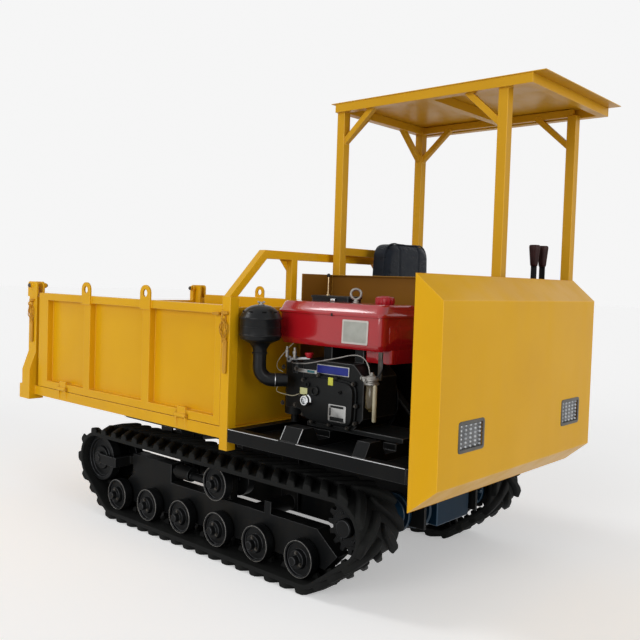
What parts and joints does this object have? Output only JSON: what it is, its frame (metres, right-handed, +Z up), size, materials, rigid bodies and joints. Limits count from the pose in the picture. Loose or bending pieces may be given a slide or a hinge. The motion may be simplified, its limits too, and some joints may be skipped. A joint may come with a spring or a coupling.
{
  "type": "tracked power carrier",
  "caption": "Rubber-tracked power carrier with a tipping drop-side cargo bed, exposed side-mounted diesel engine, front cowl with work lamps and a canopied driver's seat.",
  "frame": {"origin": "on the ground under the middle of the machine's outline", "axes": "+X forward, the way the cowl faces; +Y to the driver's left; +Z up"},
  "size_m": [2.984, 1.498, 2.198],
  "materials": {
    "yellow_paint": "yellow gloss enamel",
    "black_paint": "black satin enamel",
    "running_gear": "black-painted castings",
    "track_rubber": "moulded black rubber",
    "gearbox_blue": "dark blue enamel",
    "engine_grey": "dark grey painted iron",
    "tank_red": "red gloss enamel",
    "bright_steel": "bright steel",
    "chrome": "plated steel",
    "lamp_clear": "clear lens in a grey frame",
    "seat_vinyl": "black vinyl",
    "grip_red": "dark red-brown grips on black bars",
    "cap_red": "red plastic"
  },
  "bodies": {
    "chassis": {"chassis_frame": "black_paint", "belly_guard": "black_paint", "deck_frame": "black_paint", "partition_panel": "yellow_paint", "gearbox": "gearbox_blue", "drive_belts": "track_rubber", "engine_block": "engine_grey", "timing_cover": "engine_grey", "cylinder_head": "engine_grey", "fuel_tank": "tank_red", "hopper_cap": "black_paint", "lifting_ring": "chrome", "air_cleaner": "black_paint", "intake_pipe": "black_paint", "fuel_filter": "bright_steel", "exhaust_muffler": "engine_grey", "front_cowl": "yellow_paint", "work_lamps": "lamp_clear", "canopy_frame": "yellow_paint", "roof_sheet": "yellow_paint", "seat_frame": "black_paint", "seat_cushion": "seat_vinyl", "seat_back": "seat_vinyl", "track_frame_right": "black_paint", "track_frame_left": "black_paint", "track_belt_right": "track_rubber", "track_belt_left": "track_rubber"},
    "bed": {"bed_frame": "yellow_paint", "headboard": "yellow_paint"},
    "gearbox_pulley": {"gearbox_pulley": "engine_grey"},
    "flywheel": {"flywheel": "engine_grey"},
    "fuel_cap": {"fuel_cap": "cap_red"},
    "throttle_lever": {"throttle_lever": "cap_red"},
    "tailgate": {"tailgate": "yellow_paint"},
    "tip_barrel": {"tip_barrel": "black_paint"},
    "tip_rod": {"tip_rod": "bright_steel"},
    "lever_right": {"lever_right": "grip_red"},
    "side_gate_right": {"side_gate_right": "yellow_paint"},
    "sprocket_right": {"sprocket_right": "running_gear"},
    "idler_right": {"idler_right": "running_gear"},
    "tension_yoke_right": {"tension_yoke_right": "black_paint"},
    "carrier_right": {"carrier_right": "running_gear"},
    "roller_right_1": {"roller_right_1": "running_gear"},
    "roller_right_2": {"roller_right_2": "running_gear"},
    "roller_right_3": {"roller_right_3": "running_gear"},
    "roller_right_4": {"roller_right_4": "running_gear"},
    "roller_right_5": {"roller_right_5": "running_gear"},
    "roller_right_6": {"roller_right_6": "running_gear"},
    "lever_left": {"lever_left": "grip_red"},
    "side_gate_left": {"side_gate_left": "yellow_paint"},
    "sprocket_left": {"sprocket_left": "running_gear"},
    "idler_left": {"idler_left": "running_gear"},
    "tension_yoke_left": {"tension_yoke_left": "black_paint"},
    "carrier_left": {"carrier_left": "running_gear"},
    "roller_left_1": {"roller_left_1": "running_gear"},
    "roller_left_2": {"roller_left_2": "running_gear"},
    "roller_left_3": {"roller_left_3": "running_gear"},
    "roller_left_4": {"roller_left_4": "running_gear"},
    "roller_left_5": {"roller_left_5": "running_gear"},
    "roller_left_6": {"roller_left_6": "running_gear"}
  },
  "joints": [
    {"name": "bed_tip", "type": "hinge", "parent": "chassis", "child": "bed", "pos_m": [-1.021, -0.061, 0.503], "axis": [0, -1, 0], "range_deg": [0, 45]},
    {"name": "gate_right_fold", "type": "hinge", "parent": "bed", "child": "side_gate_right", "pos_m": [-0.001, -0.717, 0.64], "axis": [1, 0, 0], "range_deg": [0, 170]},
    {"name": "gate_left_fold", "type": "hinge", "parent": "bed", "child": "side_gate_left", "pos_m": [-0.001, 0.595, 0.64], "axis": [-1, 0, 0], "range_deg": [0, 170]},
    {"name": "tailgate_swing", "type": "hinge", "parent": "bed", "child": "tailgate", "pos_m": [-1.443, -0.061, 1.221], "axis": [0, 1, 0], "range_deg": [0, 90]},
    {"name": "sprocket_right_spin", "type": "hinge", "parent": "chassis", "child": "sprocket_right", "pos_m": [0.975, -0.576, 0.3005], "axis": [0, 1, 0], "continuous": true},
    {"name": "yoke_right_slide", "type": "slide", "parent": "chassis", "child": "tension_yoke_right", "axis": [1, 0, 0], "range_m": [0, 0.03]},
    {"name": "idler_right_spin", "type": "hinge", "parent": "tension_yoke_right", "child": "idler_right", "pos_m": [-0.727, -0.576, 0.2995], "axis": [0, 1, 0], "continuous": true},
    {"name": "carrier_right_spin", "type": "hinge", "parent": "chassis", "child": "carrier_right", "pos_m": [0.214, -0.576, 0.3405], "axis": [0, 1, 0], "continuous": true},
    {"name": "roller_right_1_spin", "type": "hinge", "parent": "chassis", "child": "roller_right_1", "pos_m": [-0.572, -0.576, 0.1265], "axis": [0, 1, 0], "continuous": true},
    {"name": "roller_right_2_spin", "type": "hinge", "parent": "chassis", "child": "roller_right_2", "pos_m": [-0.306, -0.576, 0.1265], "axis": [0, 1, 0], "continuous": true},
    {"name": "roller_right_3_spin", "type": "hinge", "parent": "chassis", "child": "roller_right_3", "pos_m": [-0.04, -0.576, 0.1265], "axis": [0, 1, 0], "continuous": true},
    {"name": "roller_right_4_spin", "type": "hinge", "parent": "chassis", "child": "roller_right_4", "pos_m": [0.226, -0.576, 0.1265], "axis": [0, 1, 0], "continuous": true},
    {"name": "roller_right_5_spin", "type": "hinge", "parent": "chassis", "child": "roller_right_5", "pos_m": [0.492, -0.576, 0.1265], "axis": [0, 1, 0], "continuous": true},
    {"name": "roller_right_6_spin", "type": "hinge", "parent": "chassis", "child": "roller_right_6", "pos_m": [0.758, -0.576, 0.1265], "axis": [0, 1, 0], "continuous": true},
    {"name": "sprocket_left_spin", "type": "hinge", "parent": "chassis", "child": "sprocket_left", "pos_m": [0.975, 0.454, 0.3005], "axis": [0, 1, 0], "continuous": true},
    {"name": "yoke_left_slide", "type": "slide", "parent": "chassis", "child": "tension_yoke_left", "axis": [1, 0, 0], "range_m": [0, 0.03]},
    {"name": "idler_left_spin", "type": "hinge", "parent": "tension_yoke_left", "child": "idler_left", "pos_m": [-0.727, 0.454, 0.2995], "axis": [0, 1, 0], "continuous": true},
    {"name": "carrier_left_spin", "type": "hinge", "parent": "chassis", "child": "carrier_left", "pos_m": [0.214, 0.454, 0.3405], "axis": [0, 1, 0], "continuous": true},
    {"name": "roller_left_1_spin", "type": "hinge", "parent": "chassis", "child": "roller_left_1", "pos_m": [-0.572, 0.454, 0.1265], "axis": [0, 1, 0], "continuous": true},
    {"name": "roller_left_2_spin", "type": "hinge", "parent": "chassis", "child": "roller_left_2", "pos_m": [-0.306, 0.454, 0.1265], "axis": [0, 1, 0], "continuous": true},
    {"name": "roller_left_3_spin", "type": "hinge", "parent": "chassis", "child": "roller_left_3", "pos_m": [-0.04, 0.454, 0.1265], "axis": [0, 1, 0], "continuous": true},
    {"name": "roller_left_4_spin", "type": "hinge", "parent": "chassis", "child": "roller_left_4", "pos_m": [0.226, 0.454, 0.1265], "axis": [0, 1, 0], "continuous": true},
    {"name": "roller_left_5_spin", "type": "hinge", "parent": "chassis", "child": "roller_left_5", "pos_m": [0.492, 0.454, 0.1265], "axis": [0, 1, 0], "continuous": true},
    {"name": "roller_left_6_spin", "type": "hinge", "parent": "chassis", "child": "roller_left_6", "pos_m": [0.758, 0.454, 0.1265], "axis": [0, 1, 0], "continuous": true},
    {"name": "flywheel_spin", "type": "hinge", "parent": "chassis", "child": "flywheel", "pos_m": [0.749, -0.195, 0.776], "axis": [0, 1, 0], "continuous": true},
    {"name": "gearbox_pulley_spin", "type": "hinge", "parent": "chassis", "child": "gearbox_pulley", "pos_m": [1.079, -0.195, 0.5], "axis": [0, 1, 0], "continuous": true},
    {"name": "lever_right_pull", "type": "hinge", "parent": "chassis", "child": "lever_right", "pos_m": [1.204, 0.481, 0.7], "axis": [0, -1, 0], "range_deg": [0, 22], "stiffness_Nm_per_rad": 60},
    {"name": "lever_left_pull", "type": "hinge", "parent": "chassis", "child": "lever_left", "pos_m": [1.204, 0.571, 0.7], "axis": [0, -1, 0], "range_deg": [0, 22], "stiffness_Nm_per_rad": 60},
    {"name": "fuel_cap_turn", "type": "hinge", "parent": "chassis", "child": "fuel_cap", "pos_m": [0.9, -0.311, 1.21], "axis": [0, 0, 1], "range_deg": [0, 90]},
    {"name": "throttle_turn", "type": "hinge", "parent": "chassis", "child": "throttle_lever", "pos_m": [0.511, -0.498, 0.944], "axis": [0, 1, 0], "range_deg": [-20, 20]},
    {"name": "tip_barrel_swing", "type": "hinge", "parent": "chassis", "child": "tip_barrel", "pos_m": [-0.851, -0.061, 0.33], "axis": [0, -1, 0], "range_deg": [0, 46.8]},
    {"name": "tip_rod_slide", "type": "slide", "parent": "tip_barrel", "child": "tip_rod", "axis": [0.9806, 0, 0.1961], "range_m": [0, 0.18305]}
  ],
  "couplings": [
    {"joint": "idler_right_spin", "follows": "sprocket_right_spin", "ratio": 0.99184},
    {"joint": "carrier_right_spin", "follows": "sprocket_right_spin", "ratio": 1.4908},
    {"joint": "roller_right_1_spin", "follows": "sprocket_right_spin", "ratio": 1.4908},
    {"joint": "roller_right_2_spin", "follows": "sprocket_right_spin", "ratio": 1.4908},
    {"joint": "roller_right_3_spin", "follows": "sprocket_right_spin", "ratio": 1.4908},
    {"joint": "roller_right_4_spin", "follows": "sprocket_right_spin", "ratio": 1.4908},
    {"joint": "roller_right_5_spin", "follows": "sprocket_right_spin", "ratio": 1.4908},
    {"joint": "roller_right_6_spin", "follows": "sprocket_right_spin", "ratio": 1.4908},
    {"joint": "idler_left_spin", "follows": "sprocket_left_spin", "ratio": 0.99184},
    {"joint": "carrier_left_spin", "follows": "sprocket_left_spin", "ratio": 1.4908},
    {"joint": "roller_left_1_spin", "follows": "sprocket_left_spin", "ratio": 1.4908},
    {"joint": "roller_left_2_spin", "follows": "sprocket_left_spin", "ratio": 1.4908},
    {"joint": "roller_left_3_spin", "follows": "sprocket_left_spin", "ratio": 1.4908},
    {"joint": "roller_left_4_spin", "follows": "sprocket_left_spin", "ratio": 1.4908},
    {"joint": "roller_left_5_spin", "follows": "sprocket_left_spin", "ratio": 1.4908},
    {"joint": "roller_left_6_spin", "follows": "sprocket_left_spin", "ratio": 1.4908},
    {"joint": "gearbox_pulley_spin", "follows": "flywheel_spin", "ratio": 1.2618},
    {"joint": "tip_barrel_swing", "follows": "bed_tip", "ratio": 1.0398},
    {"joint": "tip_rod_slide", "follows": "bed_tip", "m_per_rad": 0.23295}
  ]
}
